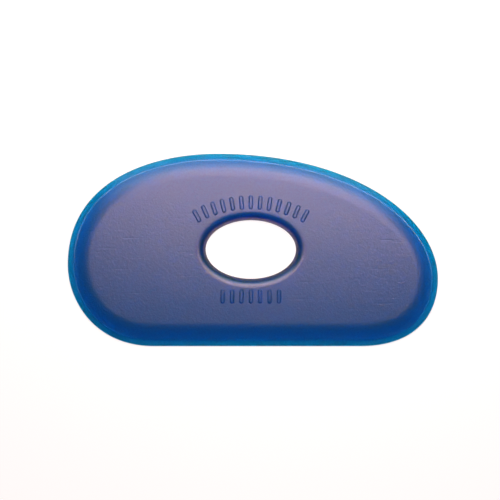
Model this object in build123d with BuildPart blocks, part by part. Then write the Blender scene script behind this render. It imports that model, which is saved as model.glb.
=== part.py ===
from build123d import *
from math import atan2, copysign, degrees, hypot, tan
import os

os.makedirs("parts", exist_ok=True)

# A potter's rib, cast in one piece of flexible polyurethane. It lies on its flat back,
# with the origin under the middle of its length and width, +X to the right, +Y towards
# the curved edge and +Z up through the thickness. All sizes are in millimetres.

# Overall size
rib_length = 127.0
rib_width = 66.0
rib_thickness = 4.5

# The outline is one straight edge and four quarter curves, which meet at the crown and at
# the widest points on the left and right. Places are shares of the length from the left
# tip, or of the width from the straight edge.
crown_share = 0.405
left_tip_share = 0.423
right_tip_share = 0.35
straight_start_share = 0.233
straight_end_share = 0.79

# How far each quarter curve runs level, and how far upright, before it bends away, as
# shares of its own length and height
upper_left_shares = (0.46, 0.75)
upper_right_shares = (0.63, 0.48)
lower_right_shares = (0.75, 0.50)
lower_left_shares = (0.71, 0.42)

# Working edge: a blunt rim, a sloping lip and a narrow ledge where the lip meets the pad
rim_thickness = 0.8
lip_width = 2.4
lip_thickness = 2.0
ledge_width = 0.35

# Pad: a short step up from the ledge, a bevel, and a soft brow into the flat face
step_height = 0.8
bevel_width = 2.9
brow_share = 0.85

# Finger hole
hole_length = 31.0
hole_width = 20.1
hole_offset_x = -0.7
hole_offset_y = 0.15
hole_round = 3.2

# Sharp corners of the back and of the rim are broken by a small radius
edge_round = 0.3

# Raised grip bars, a fan of them above the hole and a short row below it
bar_length = 5.0
bar_width = 1.7
bar_height = 0.45
bar_sink = 0.1
bar_draft_angle = 42
bar_pitch = 3.2
bar_gap = 3.5
fan_radius = 39.3
fan_bar_count = 13
row_bar_count = 7

# How far a cut runs past the faces that it opens
overrun = 1.0

# Corners of the outline's frame, worked out from the sizes above
left_x = -rib_length / 2
right_x = rib_length / 2
base_y = -rib_width / 2
crown_y = rib_width / 2
crown_x = left_x + crown_share * rib_length
left_tip_y = base_y + left_tip_share * rib_width
right_tip_y = base_y + right_tip_share * rib_width
straight_start_x = left_x + straight_start_share * rib_length
straight_end_x = left_x + straight_end_share * rib_length


def quarter_curve(level_end, upright_end, pull_shares, inset):
    """A smooth quarter of the outline, drawn in from the rim by an inset.

    The ends move in by the inset. Both pulls lose the same share of it, which is the one
    that moves the middle of the curve in by the inset too.
    """
    run = upright_end[0] - level_end[0]
    rise = level_end[1] - upright_end[1]
    level_pull = pull_shares[0] * run
    upright_pull = pull_shares[1] * rise
    middle_run = abs(2 * run - level_pull)
    middle_rise = abs(2 * rise - upright_pull)
    loss_share = (8 * hypot(middle_run, middle_rise) / (middle_run + middle_rise) - 4) / 3
    level_pull -= copysign(loss_share * inset, run)
    upright_pull -= copysign(loss_share * inset, rise)
    level_x = level_end[0]
    level_y = level_end[1] - copysign(inset, rise)
    upright_x = upright_end[0] - copysign(inset, run)
    upright_y = upright_end[1]
    Bezier(
        (level_x, level_y),
        (level_x + level_pull, level_y),
        (upright_x, upright_y + upright_pull),
        (upright_x, upright_y),
    )


def rib_outline(inset):
    """The whole closed outline, drawn in from the rim by an inset."""
    crown = (crown_x, crown_y)
    left_tip = (left_x, left_tip_y)
    right_tip = (right_x, right_tip_y)
    quarter_curve(crown, left_tip, upper_left_shares, inset)
    quarter_curve(crown, right_tip, upper_right_shares, inset)
    quarter_curve((straight_end_x, base_y), right_tip, lower_right_shares, inset)
    quarter_curve((straight_start_x, base_y), left_tip, lower_left_shares, inset)
    Line((straight_start_x, base_y + inset), (straight_end_x, base_y + inset))


with BuildPart() as rib_body:

    # Plate: the whole outline, as thick as the lip is where it meets the pad
    with BuildSketch():
        with BuildLine():
            rib_outline(0)
        make_face()
    extrude(amount=lip_thickness)

    # Lip: the plate's top edge slopes down to the thin rim
    plate_top = rib_body.faces().sort_by(Axis.Z)[-1]
    chamfer(
        plate_top.edges(),
        length=lip_width - ledge_width,
        length2=lip_thickness - rim_thickness,
        reference=plate_top,
    )
    plate_back = rib_body.faces().sort_by(Axis.Z)[0]
    fillet(plate_back.edges(), radius=edge_round)

    # Pad: the same outline drawn in by the lip's width, up to the full thickness
    with BuildSketch():
        with BuildLine():
            rib_outline(lip_width)
        make_face()
    extrude(amount=rib_thickness)

    # Bevel and brow: a slope round the pad, rounded into the flat face
    bevel_rise = rib_thickness - lip_thickness - step_height
    pad_top = rib_body.faces().sort_by(Axis.Z)[-1]
    chamfer(pad_top.edges(), length=bevel_width, length2=bevel_rise, reference=pad_top)
    slope_length = hypot(bevel_width, bevel_rise)
    slope_angle = atan2(bevel_rise, bevel_width)
    brow_radius = brow_share * slope_length / tan(slope_angle / 2)
    face_top = rib_body.faces().sort_by(Axis.Z)[-1]
    fillet(face_top.edges(), radius=brow_radius)

    # Finger hole: an ellipse right through, with a generous round on the face
    with BuildSketch(Plane.XY.offset(-overrun)):
        with Locations((hole_offset_x, hole_offset_y)):
            Ellipse(hole_length / 2, hole_width / 2)
    extrude(amount=rib_thickness + 2 * overrun, mode=Mode.SUBTRACT)
    face_hole_edge = rib_body.faces().sort_by(Axis.Z)[-1].inner_wires()[0].edges()
    fillet(face_hole_edge, radius=hole_round)
    back_hole_edge = rib_body.faces().sort_by(Axis.Z)[0].inner_wires()[0].edges()
    fillet(back_hole_edge, radius=edge_round)

    # Grip bars: round-ended, with sloping flanks that start a little under the face, clear
    # of the hole by the same gap. Their feet go down to the plate, so that a bar which
    # reaches out over the brow stands on it as well.
    bar_reach = hole_width / 2 + bar_gap + bar_length / 2
    fan_step = degrees(bar_pitch / fan_radius)
    fan_sweep = fan_step * (fan_bar_count - 1)
    fan_start = 90 - fan_sweep / 2
    fan_centre_y = hole_offset_y + bar_reach - fan_radius
    bar_floor = rib_thickness - bar_sink
    with BuildSketch(Plane.XY.offset(bar_floor)) as bars:
        with Locations((hole_offset_x, fan_centre_y)):
            with PolarLocations(fan_radius, fan_bar_count, fan_start, fan_sweep, endpoint=True):
                SlotOverall(bar_length, bar_width)
        with Locations((hole_offset_x, hole_offset_y - bar_reach)):
            with GridLocations(bar_pitch, 0, row_bar_count, 1):
                SlotOverall(bar_length, bar_width, rotation=90)
    extrude(amount=lip_thickness - bar_floor)
    extrude(bars.sketch, amount=bar_sink + bar_height, taper=bar_draft_angle)

rib_body.part.label = "rib_body"
export_step(rib_body.part, "parts/rib_body.step")
print("rib_body", rib_body.part.bounding_box().size, "volume", round(rib_body.part.volume), "mm3")
print("brow radius", round(brow_radius, 1), "mm, slope", round(degrees(slope_angle), 1), "degrees")
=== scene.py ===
# %% [markdown]
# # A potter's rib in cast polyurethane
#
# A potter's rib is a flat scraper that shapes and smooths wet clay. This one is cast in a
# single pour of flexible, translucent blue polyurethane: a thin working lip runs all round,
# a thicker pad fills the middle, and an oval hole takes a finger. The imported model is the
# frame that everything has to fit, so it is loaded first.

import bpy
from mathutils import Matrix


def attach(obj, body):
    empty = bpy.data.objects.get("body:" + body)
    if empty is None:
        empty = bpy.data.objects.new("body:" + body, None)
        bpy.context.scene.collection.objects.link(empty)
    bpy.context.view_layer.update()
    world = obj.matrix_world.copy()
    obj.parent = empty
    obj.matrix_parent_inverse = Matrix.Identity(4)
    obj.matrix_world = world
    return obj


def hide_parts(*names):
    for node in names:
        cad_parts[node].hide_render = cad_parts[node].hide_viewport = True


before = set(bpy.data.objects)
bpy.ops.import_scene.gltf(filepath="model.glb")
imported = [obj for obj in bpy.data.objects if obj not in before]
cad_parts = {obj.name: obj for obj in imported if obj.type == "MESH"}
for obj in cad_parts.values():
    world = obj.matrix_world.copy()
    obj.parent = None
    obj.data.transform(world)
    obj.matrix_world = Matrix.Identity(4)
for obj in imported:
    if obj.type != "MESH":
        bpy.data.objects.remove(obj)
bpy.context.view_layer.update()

# %% Tools for the whole lesson
import math

import bmesh
import bpy
import numpy as np

MM = 0.001  # one millimetre in metres, the unit of the frame
scene = bpy.context.scene

# %% [markdown]
# ## The outline
#
# On the real tool the outline is what does the work: one straight edge for flat walls and
# one long curve for bowls. A designer draws it as a few smooth curves, so here it is one
# straight run and four Bezier quarters that meet at the crown and at the two tips. Points
# traced by hand would give small dents in the lip, and a Bezier can't.

# %% Sizes of the outline, in millimetres
rib_length = 127.0
rib_width = 66.0
crown_share = 0.405
left_tip_share = 0.423
right_tip_share = 0.35
straight_start_share = 0.233
straight_end_share = 0.79

left_x, right_x = -rib_length / 2, rib_length / 2
base_y, crown_y = -rib_width / 2, rib_width / 2
crown = (left_x + crown_share * rib_length, crown_y)
left_tip = (left_x, base_y + left_tip_share * rib_width)
right_tip = (right_x, base_y + right_tip_share * rib_width)
straight_start = (left_x + straight_start_share * rib_length, base_y)
straight_end = (left_x + straight_end_share * rib_length, base_y)


# %% One quarter of the outline
def quarter_curve(level_end, upright_end, level_share, upright_share, steps=1500):
    """Points on a Bezier that leaves one end level and reaches the other upright."""
    run = upright_end[0] - level_end[0]
    rise = level_end[1] - upright_end[1]
    pulled_level = (level_end[0] + level_share * run, level_end[1])
    pulled_upright = (upright_end[0], upright_end[1] + upright_share * rise)
    a, b, c, d = (np.array(p) for p in (level_end, pulled_level, pulled_upright, upright_end))
    t = np.linspace(0, 1, steps)[:, None]
    return (1 - t) ** 3 * a + 3 * (1 - t) ** 2 * t * b + 3 * (1 - t) * t**2 * c + t**3 * d


upper_left = quarter_curve(crown, left_tip, 0.46, 0.75)
lower_left = quarter_curve(straight_start, left_tip, 0.71, 0.42)
lower_right = quarter_curve(straight_end, right_tip, 0.75, 0.50)
upper_right = quarter_curve(crown, right_tip, 0.63, 0.48)
print("crown at", crown, "mm, tips at", left_tip, right_tip)

# %% Walk round the outline in even steps
round_count = 720  # points in each ring, about 0.45 mm apart on the rim

walk = np.vstack([upper_left, lower_left[::-1], lower_right, upper_right[::-1], upper_left[:1]])
step_lengths = np.hypot(*np.diff(walk, axis=0).T)
walk = walk[np.r_[True, step_lengths > 1e-9]]
walked = np.r_[0, np.cumsum(np.hypot(*np.diff(walk, axis=0).T))]
even = np.linspace(0, walked[-1], round_count, endpoint=False)
rim = np.c_[np.interp(even, walked, walk[:, 0]), np.interp(even, walked, walk[:, 1])]

along = np.roll(rim, -1, axis=0) - np.roll(rim, 1, axis=0)
along /= np.hypot(*along.T)[:, None]
inward = np.c_[-along[:, 1], along[:, 0]]
print("outline", round(walked[-1], 1), "mm round, in", round_count, "steps")

# %% [markdown]
# ## The section, from rim to pad
#
# Cut across its edge, the rib is a blunt 0.8 mm rim, a lip that thickens to 2 mm, a narrow
# ledge, a step, and then a bevel that rolls softly over into the flat face. The same
# section runs all the way round. So each point of the section becomes one ring: the
# outline, moved in by so much and lifted by so much. Where two surfaces meet, a small arc
# of short steps stands for the radius that a mould leaves.

# %% Sizes of the section, in millimetres
rib_thickness = 4.5
rim_thickness = 0.8
lip_width = 2.4
lip_thickness = 2.0
ledge_width = 0.35
step_height = 0.8
bevel_width = 2.9
brow_share = 0.85
edge_round = 0.3

bevel_rise = rib_thickness - lip_thickness - step_height
bevel_angle = math.atan2(bevel_rise, bevel_width)
bevel_length = math.hypot(bevel_width, bevel_rise)
brow_reach = brow_share * bevel_length
brow_radius = brow_reach / math.tan(bevel_angle / 2)
lip_angle = math.atan2(lip_thickness - rim_thickness, lip_width - ledge_width)
print("bevel", round(math.degrees(bevel_angle), 1), "degrees, brow radius", round(brow_radius, 1))


# %% Arcs and straight runs of the section
def arc(centre, radius, start, end, steps):
    """Points (inset, height) on an arc, with its angles in degrees from the inward level."""
    angles = np.radians(np.linspace(start, end, steps + 1))
    return [(centre[0] + radius * math.cos(a), centre[1] + radius * math.sin(a)) for a in angles]


def run_between(first, last, steps):
    """Points inside a straight run, without its two ends."""
    shares = np.linspace(0, 1, steps + 1)[1:-1]
    return [tuple(np.array(first) * (1 - s) + np.array(last) * s) for s in shares]


# %% The section's points
rim_round = 0.12
crease_round = 0.06
bevel_run = np.array([math.cos(bevel_angle), math.sin(bevel_angle)])

back_corner = arc((edge_round, edge_round), edge_round, 270, 180, 7)
rim_bend = rim_round * math.tan((math.pi / 2 - lip_angle) / 2)
rim_centre = (rim_round, rim_thickness - rim_bend)
rim_corner = arc(rim_centre, rim_round, 180, 90 + math.degrees(lip_angle), 6)
ledge_start = (lip_width - ledge_width, lip_thickness)
step_top = (lip_width, lip_thickness + step_height)
bevel_start = tuple(np.array(step_top) + crease_round * bevel_run)
bevel_end = tuple(np.array(step_top) + (bevel_length - brow_reach) * bevel_run)
brow_centre = (lip_width + bevel_width + brow_reach, rib_thickness - brow_radius)
brow = arc(brow_centre, brow_radius, 90 + math.degrees(bevel_angle), 90, 22)

section = list(back_corner)
section += run_between(back_corner[-1], rim_corner[0], 3)
section += rim_corner
section += run_between(rim_corner[-1], ledge_start, 8)
section += [ledge_start]
section += run_between(ledge_start, (lip_width - crease_round, lip_thickness), 3)
section += arc((lip_width - crease_round, lip_thickness + crease_round), crease_round, 270, 360, 5)
section += [(lip_width, lip_thickness + step_height - crease_round)]
section += [tuple(np.array(bevel_start) * 0.55 + np.array(step_top) * 0.45), bevel_start]
section += run_between(bevel_start, bevel_end, 5)
section += brow
print(len(section), "rings from the back's edge to the flat face")

# %% [markdown]
# ## The finger hole
#
# The oval hole has a generous round on the face, where the finger enters, and a tight one
# on the back, where the mould's pin stood on its plate. Its rings are ellipses, and each of
# their points lies in the same direction from the hole's middle as its partner on the rim,
# so that the flat face between them is filled by simple in-between rings.

# %% Sizes of the finger hole, in millimetres
hole_length = 31.0
hole_width = 20.1
hole_middle = np.array([-0.7, 0.15])
hole_round = 3.2

half_long, half_short = hole_length / 2, hole_width / 2
spokes = rim - hole_middle
directions = np.arctan2(spokes[:, 1], spokes[:, 0])
reach = 1 / np.hypot(np.cos(directions) / half_long, np.sin(directions) / half_short)
oval = hole_middle + np.c_[reach * np.cos(directions), reach * np.sin(directions)]
outward = (oval - hole_middle) / np.array([half_long**2, half_short**2])
outward /= np.hypot(*outward.T)[:, None]
print("finger hole", hole_length, "by", hole_width, "mm")


# %% Rings of the rim and rings of the hole
def rim_ring(inset, height):
    """The outline moved in by the inset, at one height."""
    return np.c_[rim + inward * inset, np.full(round_count, height)]


def hole_ring(inset, height):
    """The hole's oval moved out by the inset, at one height."""
    return np.c_[oval + outward * inset, np.full(round_count, height)]


def rings_between(first, last, count):
    """Rings that fill a flat between two others, without the two."""
    return [first * (1 - s) + last * s for s in np.linspace(0, 1, count + 2)[1:-1]]


# %% Stack the rings
rings = [rim_ring(inset, height) for inset, height in section]
hole_top = rib_thickness - hole_round
hole_corner = [
    hole_ring(*point)
    for point in arc((hole_round, hole_top), hole_round, 90, 180, 18)
]
rings += rings_between(rings[-1], hole_corner[0], 16)
rings += hole_corner
rings += rings_between(hole_corner[-1], hole_ring(0, edge_round), 3)
rings += [hole_ring(*point) for point in arc((edge_round, edge_round), edge_round, 180, 270, 7)]
rings += rings_between(rings[-1], rings[0], 10)
print(len(rings), "rings of", round_count, "points")


# %% [markdown]
# ## From rings to a closed casting
#
# Real cast plastic has no seam and no inside, so the mesh must be one closed skin: light
# that enters it has to leave it again for a see-through material to look right. The rings
# close on themselves, round the rib and from the back's edge through the hole to the back,
# like a bent doughnut. That leaves no pole, no cap and no open edge.

# %% Close the skin
def closed_skin(name, stack):
    """A mesh object whose rings join into a closed doughnut of four-sided faces."""
    count, around = len(stack), len(stack[0])
    places = np.vstack(stack) * MM
    here = np.arange(count)[:, None] * around + np.arange(around)
    up = np.roll(here, -1, axis=0)
    faces = np.stack([here, np.roll(here, -1, 1), np.roll(up, -1, 1), up], -1).reshape(-1, 4)
    mesh = bpy.data.meshes.new(name)
    mesh.from_pydata(places.tolist(), [], faces.tolist())
    skin = bpy.data.objects.new(name, mesh)
    scene.collection.objects.link(skin)
    return skin


casting = closed_skin("rib_casting", rings)
print("casting", len(casting.data.vertices), "points", len(casting.data.polygons), "faces")

# %% [markdown]
# ## Grip bars
#
# Low raised bars on the pad keep wet fingers from slipping. They are part of the same
# pour, with sloping flanks that let the casting leave its mould, and the cutter that made
# the mould left their tops softly rounded. Each bar is a small closed form of its own, and
# a Boolean union then melts them all into the pad. A bump pattern would be quicker, but
# it would vanish from the side.

# %% Sizes of the grip bars, in millimetres
bar_length = 5.0
bar_width = 1.7
bar_height = 0.45
bar_sink = 0.1
bar_draft = math.radians(42)
bar_pitch = 3.2
bar_gap = 3.5
fan_radius = 39.3
fan_count = 13
row_count = 7
top_round = 0.2

bar_reach = half_short + bar_gap + bar_length / 2
fan_middle = hole_middle + np.array([0, bar_reach - fan_radius])
row_middle = hole_middle - np.array([0, bar_reach])


# %% One bar, as rings of a round-ended slot
def slot_ring(shrink, height, end_steps=10):
    """A round-ended slot along X, drawn in by the shrink, at one height."""
    radius = bar_width / 2 - shrink
    half = (bar_length - bar_width) / 2
    turn = np.linspace(-math.pi / 2, math.pi / 2, end_steps + 1)
    right = np.c_[half + radius * np.cos(turn), radius * np.sin(turn)]
    return np.c_[np.vstack([right, -right]), np.full(2 * len(right), height)]


flank_top = bar_height - top_round * (1 - math.sin(bar_draft))
flank_shrink = (flank_top + bar_sink) * math.tan(bar_draft)
bar_rings = [slot_ring(0, -bar_sink), slot_ring(flank_shrink, flank_top)]
for turn in np.linspace(math.degrees(bar_draft), 90, 6)[1:]:
    a = math.radians(turn)
    shrink = flank_shrink + top_round * (math.cos(bar_draft) - math.cos(a))
    bar_rings.append(slot_ring(shrink, bar_height - top_round * (1 - math.sin(a))))
flat_top = bar_width - 2 * shrink
print("a bar has", len(bar_rings), "rings and a flat top", round(flat_top, 2), "mm wide")


# %% Set out the fan above the hole and the row below it
def bar_places():
    """Each bar's middle and its turn: a fan along an arc, then a straight row."""
    spread = bar_pitch / fan_radius
    for k in range(fan_count):
        angle = math.pi / 2 + (k - (fan_count - 1) / 2) * spread
        yield fan_middle + fan_radius * np.array([math.cos(angle), math.sin(angle)]), angle
    for k in range(row_count):
        yield row_middle + np.array([(k - (row_count - 1) / 2) * bar_pitch, 0]), math.pi / 2


places, faces = [], []
for middle, angle in bar_places():
    turn = np.array([[math.cos(angle), math.sin(angle)], [-math.sin(angle), math.cos(angle)]])
    around, first = len(bar_rings[0]), len(places)
    for ring in bar_rings:
        flat = ring[:, :2] @ turn + middle
        places += np.c_[flat, ring[:, 2] + rib_thickness].tolist()
    for level in range(len(bar_rings) - 1):
        low = first + level * around
        for k in range(around):
            n = (k + 1) % around
            faces.append((low + k, low + n, low + around + n, low + around + k))
    faces.append(tuple(range(first + around - 1, first - 1, -1)))
    faces.append(tuple(range(len(places) - around, len(places))))

bar_mesh = bpy.data.meshes.new("grip_bars")
bar_mesh.from_pydata((np.array(places) * MM).tolist(), [], faces)
bars = bpy.data.objects.new("grip_bars", bar_mesh)
scene.collection.objects.link(bars)
print(fan_count + row_count, "bars,", len(bar_mesh.polygons), "faces")


# %% Melt the bars into the pad
def face_outwards(mesh):
    """Turns every face's front to the outside."""
    work = bmesh.new()
    work.from_mesh(mesh)
    bmesh.ops.recalc_face_normals(work, faces=work.faces)
    work.to_mesh(mesh)
    work.free()


for piece in (casting, bars):
    face_outwards(piece.data)

union = casting.modifiers.new("melt the bars in", "BOOLEAN")
union.operation = "UNION"
union.solver = "MANIFOLD"
union.object = bars
bpy.context.view_layer.update()
graph = bpy.context.evaluated_depsgraph_get()
melted = bpy.data.meshes.new_from_object(casting.evaluated_get(graph))
casting.modifiers.clear()
casting.data = melted
bpy.data.objects.remove(bars)

# %% Smooth skin with crisp creases, and a check that it is closed
crease_angle = math.radians(24)
melted.polygons.foreach_set("use_smooth", [True] * len(melted.polygons))
melted.set_sharp_from_angle(angle=crease_angle)

work = bmesh.new()
work.from_mesh(melted)
open_edges = sum(len(edge.link_faces) != 2 for edge in work.edges)
volume = work.calc_volume() / MM**3
work.free()
print("open edges", open_edges, "volume", round(volume), "mm3,", len(melted.polygons), "faces")

# %% [markdown]
# ## Colours and nodes
#
# Colours are written the way a paint chart writes them, as sRGB hex values, and one
# function turns them into the linear values that light is worked out in. A second small
# function adds a node with its settings and links, so that each material below reads as a
# short list of what it is made of.

# %% One function for colours, one for nodes
def linear(hex_colour, alpha=1.0):
    """An sRGB hex colour as the linear red, green, blue and alpha that nodes take."""
    shares = [int(hex_colour[k : k + 2], 16) / 255 for k in (1, 3, 5)]
    return (*(s / 12.92 if s <= 0.04045 else ((s + 0.055) / 1.055) ** 2.4 for s in shares), alpha)


def add_node(tree, kind, settings=None, links=None):
    """A node with its properties and sockets set, and its inputs fed from other nodes."""
    node = tree.nodes.new(kind)
    for name, value in (settings or {}).items():
        if isinstance(name, str) and hasattr(node, name):
            setattr(node, name, value)
        else:
            node.inputs[name].default_value = value
    for name, source in (links or {}).items():
        tree.links.new(source, node.inputs[name])
    return node


def bare_material(name):
    """A material with an empty node tree."""
    material = bpy.data.materials.new(name)
    material.use_nodes = True
    material.node_tree.nodes.clear()
    return material


# %% [markdown]
# ## The finish: dyed polyurethane, cast in a sanded mould
#
# Flexible polyurethane is clear like resin, and a blue dye takes away red at once, green
# slowly and blue slowest. So the thin lip glows azure where light comes up through it, and
# the thick pad is a deep navy. The mould was sanded, which leaves a matte skin: it blurs
# what is behind it and lays a pale haze over the face wherever a lamp's mirror direction is
# near. A painted blue would need both drawn by hand, and would be wrong from the side, so
# here the light is left to do most of it: a rough see-through shader, a dye inside, and a
# second rough layer for the haze. Some shade is still painted into the skin's colour.

# %% The dye and the bare body
polyurethane = bare_material("dyed_cast_polyurethane")
tree = polyurethane.node_tree
place = add_node(tree, "ShaderNodeTexCoord").outputs["Object"]

dye_per_metre = (4000.0, 262.0, 35.0)  # how fast red, green and blue fade inside
dye_density = max(dye_per_metre)
dye = add_node(
    tree,
    "ShaderNodeVolumeAbsorption",
    {"Color": (*(1 - fade / dye_density for fade in dye_per_metre), 1.0), "Density": dye_density},
)
print("half of the green is gone after", round(1000 * math.log(2) / dye_per_metre[1], 1), "mm")

# %% [markdown]
# ## Grain, stipple and flow
#
# Sandpaper leaves marks of about a tenth of a millimetre, finer than one pixel here, so the
# grain is drawn coarser, at 0.6 mm, about the finest that the camera can show. Over it lies
# a slower mottle of 6 mm, where the resin wetted the mould a little better or worse. Both
# come from noise over the object's own place, so they stick to the casting and go on round
# its corners without a seam.

# %% Noise at real sizes
def noise(size_mm, detail=2.0, rough=0.5):
    """Noise whose blotches are about the given size, as a node's output."""
    settings = {"Scale": 1 / (size_mm * MM), "Detail": detail, "Roughness": rough}
    return add_node(tree, "ShaderNodeTexNoise", settings, {"Vector": place}).outputs[0]


def remap(value, low, high, out_low, out_high, kind="LINEAR"):
    """The value's span from low to high, stretched to another span and held at its ends."""
    settings = {"interpolation_type": kind, 1: low, 2: high, 3: out_low, 4: out_high}
    return add_node(tree, "ShaderNodeMapRange", settings, {0: value}).outputs[0]


def combine(operation, first, second):
    """Two values joined by one sum, and the second may be a plain number."""
    node = add_node(tree, "ShaderNodeMath", {"operation": operation}, {0: first})
    if isinstance(second, (int, float)):
        node.inputs[1].default_value = second
    else:
        tree.links.new(second, node.inputs[1])
    return node.outputs[0]


grain = noise(0.6, detail=3.0, rough=0.6)
mottle = noise(6.0, detail=3.0)
noise_low, noise_high = 0.3, 0.7  # most of a noise's values lie between these

# %% [markdown]
# ## Where hands and clay have polished it
#
# The lip drags over wet clay in every stroke and soon turns glossy, and the back was cast
# on a polished plate, while the pad keeps its matte skin. Both smooth parts lie lower than
# the ledge, so height tells them apart. High edges wear too: the bars, the hole's round, the
# crease above the lip. Blender's pointiness finds such ridges, and they get a little
# smoother. A few faint hairlines, left by scraping a bench, cross the pad. Sandpaper never
# got at the steep walls of the step and the hole, so the haze leaves them: the skin's own
# direction tells which way it faces.

# %% Lip, ridges and hairlines as masks
surface = add_node(tree, "ShaderNodeNewGeometry").outputs
height = add_node(tree, "ShaderNodeSeparateXYZ", links={0: place}).outputs["Z"]
lip_top = (lip_thickness - 0.13) * MM
pad_foot = (lip_thickness + 0.22) * MM
pad_share = remap(height, lip_top, pad_foot, 0, 1, "SMOOTHSTEP")
upright = add_node(tree, "ShaderNodeSeparateXYZ", links={0: surface["Normal"]}).outputs["Z"]
level_share = remap(upright, 0.15, 0.7, 0, 1, "SMOOTHSTEP")
ridges = remap(surface["Pointiness"], 0.52, 0.60, 0, 1, "SMOOTHSTEP")

scrape_turn = math.radians(-24)
scrape_width = 1.1 * MM
scrape_stretch = 0.06  # width over length

scrape_frame = {"Rotation": (0, 0, scrape_turn), "Scale": (scrape_stretch, 1, 1)}
stretched = add_node(tree, "ShaderNodeMapping", scrape_frame, {0: place}).outputs[0]
scrape_settings = {"Scale": 1 / scrape_width, "Detail": 1.0}
scratches = add_node(tree, "ShaderNodeTexNoise", scrape_settings, {"Vector": stretched})
hairlines = remap(scratches.outputs[0], 0.66, 0.76, 0, 1)

# %% Haze, blur and relief from the masks
lip_haze, pad_haze = 0.407, 0.92
lip_roughness, pad_roughness = 0.1, 0.303
haze_ior = 1.37
lip_blur, mould_blur = 0.716, 0.797

haze_weight = remap(pad_share, 0, 1, lip_haze, pad_haze)
haze_weight = combine("MULTIPLY", haze_weight, remap(grain, 0.25, 0.75, 0.78, 1.22))
haze_weight = combine("MULTIPLY", haze_weight, remap(mottle, noise_low, noise_high, 0.97, 1.03))
haze_weight = combine("MULTIPLY", combine("MINIMUM", haze_weight, 1.0), level_share)
haze_roughness = remap(pad_share, 0, 1, lip_roughness, pad_roughness)
haze_roughness = combine("ADD", haze_roughness, remap(mottle, noise_low, noise_high, -0.008, 0.008))
haze_roughness = combine("ADD", haze_roughness, remap(grain, noise_low, noise_high, -0.04, 0.04))
haze_roughness = combine("SUBTRACT", haze_roughness, combine("MULTIPLY", ridges, 0.05))
haze_roughness = combine("SUBTRACT", haze_roughness, combine("MULTIPLY", hairlines, 0.02))
blur = remap(pad_share, 0, 1, lip_blur, mould_blur)
blur = combine("ADD", blur, remap(mottle, noise_low, noise_high, -0.02, 0.02))

relief = combine("SUBTRACT", grain, combine("MULTIPLY", hairlines, 0.25))
relief_settings = {"Strength": 1.0, "Distance": 0.07 * MM}
bump = add_node(tree, "ShaderNodeBump", relief_settings, {"Height": relief})

# %% [markdown]
# ## Colour of the skin, with painted light and shade
#
# The dye inside does most of the colouring. The photograph is still brighter round the
# pad's edge and darker round the hole than dye alone makes it, perhaps because light
# spreads sideways in the cloudy resin. True scattering would take very many samples, so
# that light and shade are painted into the skin's colour: a painted shade a little deeper
# over the face and deepest round the hole, and the clear tint left at the lip and the bevel.

# %% Tints over lip, face and hole, with painted shade over face and hole
def blend(share, low_colour, high_colour):
    """A colour between two others, as a node's output. Each is a value or an output."""
    node = add_node(tree, "ShaderNodeMix", {"data_type": "RGBA"}, {0: share})
    sockets = [s for s in node.inputs if s.type == "RGBA"]
    for socket, colour in zip(sockets, (low_colour, high_colour)):
        if isinstance(colour, bpy.types.NodeSocket):
            tree.links.new(colour, socket)
        else:
            socket.default_value = colour
    return [s for s in node.outputs if s.type == "RGBA"][0]


hole_frame = {
    "Location": (-hole_middle[0] / half_long, -hole_middle[1] / half_short, 0),
    "Scale": (1 / (half_long * MM), 1 / (half_short * MM), 0),
}
hole_place = add_node(tree, "ShaderNodeMapping", hole_frame, {0: place}).outputs[0]
measure = add_node(tree, "ShaderNodeVectorMath", {"operation": "LENGTH"}, {0: hole_place})
from_hole = measure.outputs["Value"]  # 1 on the hole's edge
# painted shade: the colour deepens towards the hole's rounded edge
hole_shade_share = remap(from_hole, 1.05, 1.3, 1, 0, "SMOOTHSTEP")

bevel_foot = (lip_thickness + step_height) * MM
# painted shade: the colour deepens from the bevel's foot up to the face
face_shade_share = remap(height, bevel_foot, rib_thickness * MM, 0, 1)

# the clear tint at lip and bevel, varied at random by the mottle
edge_tint = blend(remap(mottle, noise_low, noise_high, 0, 1), linear("#27EFFB"), linear("#2BF3FF"))
face_shade_tint = blend(face_shade_share, edge_tint, linear("#29DAC2"))
tint_with_painted_shade = blend(hole_shade_share, face_shade_tint, linear("#2930B1"))
# grain darkens the colour in random specks; the colour it darkens carries the painted shade
speckled_colour_with_painted_shade = blend(remap(grain, noise_low, noise_high, 0, 0.24), tint_with_painted_shade, linear("#04163A"))

# %% [markdown]
# ## One shader for the whole casting
#
# Two layers make the skin. The lower one is the plastic itself: all of its light goes
# through, it bends by the usual index of such resins, 1.5, and the sanded surface blurs it.
# Its own reflection has lost its red, as light that has been inside the dye does. The
# upper one is the haze, and its index and roughness were matched to the photograph. The
# dye fills the volume. Scattering inside would be truer still, but far slower to render.

# %% Put the polyurethane together
skin = add_node(
    tree,
    "ShaderNodeBsdfPrincipled",
    {
        "distribution": "GGX",
        "IOR": 1.5,
        "Specular IOR Level": 0.0,
        "Specular Tint": linear("#00CD7D"),
        "Transmission Weight": 1.0,
        "Coat IOR": haze_ior,
    },
    {
        # the base colour carries the painted shade over the face and round the hole
        "Base Color": speckled_colour_with_painted_shade,
        "Roughness": blur,
        "Coat Weight": haze_weight,
        "Coat Roughness": haze_roughness,
        "Normal": bump.outputs[0],
        "Coat Normal": bump.outputs[0],
    },
)
add_node(
    tree, "ShaderNodeOutputMaterial", links={"Surface": skin.outputs[0], "Volume": dye.outputs[0]}
)
casting.data.materials.clear()
casting.data.materials.append(polyurethane)
print("polyurethane nodes:", len(tree.nodes))

# %% [markdown]
# ## The table, the lamps and the camera
#
# The rib lies on plain white paper. A soft lamp hangs close over its curved edge, shines
# through the casting on the paper and mirrors as the bright part of the haze. A broad white
# panel stands further off behind it. Only reflections see the panel, so it fills the haze
# in without bleaching the shadow. The paper glows a little towards the camera, because a
# white page is lit brighter than the tool on it. The room itself gives no light, and shows
# as a white backdrop where the camera looks past the table. The lamp is warm and the panel
# cool, because that matched the photograph, so colours don't render just as written here.

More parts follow.
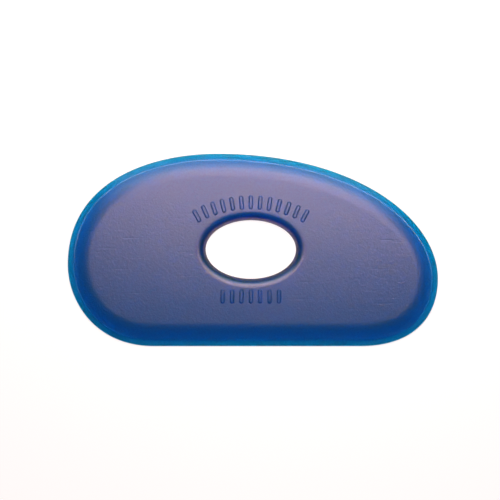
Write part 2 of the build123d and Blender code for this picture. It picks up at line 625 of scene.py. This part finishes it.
# %% Paper table
table_half = 1.5
table_drop = 0.0001
table_mesh = bpy.data.meshes.new("paper_table")
table_mesh.from_pydata(
    [
        (x * table_half, y * table_half, -table_drop)
        for x, y in ((-1, -1), (1, -1), (1, 1), (-1, 1))
    ],
    [],
    [(0, 1, 2, 3)],
)
table = bpy.data.objects.new("paper_table", table_mesh)
scene.collection.objects.link(table)

paper_glow = 0.85  # how much of the page's white towards the camera is its own

paper = bare_material("white_paper")
tree = paper.node_tree
sheet = add_node(tree, "ShaderNodeBsdfDiffuse", {"Color": linear("#F3F3F3"), "Roughness": 1.0})
white = add_node(tree, "ShaderNodeEmission", {"Color": linear("#FFFFFF"), "Strength": 1.0})
ray = add_node(tree, "ShaderNodeLightPath")
glow_share = add_node(
    tree,
    "ShaderNodeMath",
    {"operation": "MULTIPLY", 1: paper_glow},
    {0: ray.outputs["Is Camera Ray"]},
).outputs[0]
page = add_node(
    tree,
    "ShaderNodeMixShader",
    links={0: glow_share, 1: sheet.outputs[0], 2: white.outputs[0]},
)
add_node(tree, "ShaderNodeOutputMaterial", links={"Surface": page.outputs[0]})
table_mesh.materials.append(paper)

# %% Lamps and a dark room
def soft_lamp(name, place, size, radiance, colour, turn, haze_only):
    """A rectangular lamp that shines down along its own Z, with the same glow at any size."""
    light = bpy.data.lights.new(name, "AREA")
    light.shape = "RECTANGLE"
    light.size, light.size_y = size
    light.energy = radiance * math.pi * size[0] * size[1]
    light.color = colour
    lamp = bpy.data.objects.new(name, light)
    lamp.location = place
    lamp.rotation_euler = (turn, 0, 0)
    lamp.visible_camera = False
    lamp.visible_diffuse = lamp.visible_transmission = not haze_only
    scene.collection.objects.link(lamp)
    return lamp


lamp_place = (0.016, 0.0854, 0.18)
lamp_size = (0.2, 0.165)
lamp_glow = 15.8
lamp_colour = (1.0, 0.623, 0.574)
soft_lamp("near_lamp", lamp_place, lamp_size, lamp_glow, lamp_colour, 0.0, False)

panel_place = (0.0, 0.424, 0.373)
panel_size = (0.738, 0.31)
panel_glow = 5.86
panel_colour = (1.0, 1.15, 1.4)
panel_turn = -math.atan2(panel_place[1], panel_place[2])  # faces the middle of the rib
soft_lamp("haze_panel", panel_place, panel_size, panel_glow, panel_colour, panel_turn, True)

room = bpy.data.worlds.new("room")
room.use_nodes = True
backdrop = room.node_tree.nodes["Background"]
backdrop.inputs["Color"].default_value = linear("#FFFFFF")
seen = add_node(room.node_tree, "ShaderNodeLightPath").outputs["Is Camera Ray"]
room.node_tree.links.new(seen, backdrop.inputs["Strength"])
scene.world = room

# %% Camera straight above
frame_width = 0.17176
camera_height = 0.62
sensor_width = 36.0
eye = bpy.data.cameras.new("camera")
eye.sensor_width = sensor_width
eye.lens = sensor_width * camera_height / frame_width
camera = bpy.data.objects.new("camera", eye)
camera.location = (-0.00098, -0.00003, camera_height)
scene.collection.objects.link(camera)
scene.camera = camera
scene.view_settings.view_transform = "Standard"
print("lens", round(eye.lens), "mm")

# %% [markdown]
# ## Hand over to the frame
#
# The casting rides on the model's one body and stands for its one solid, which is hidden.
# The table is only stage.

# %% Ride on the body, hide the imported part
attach(casting, "root")
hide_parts("rib_body")
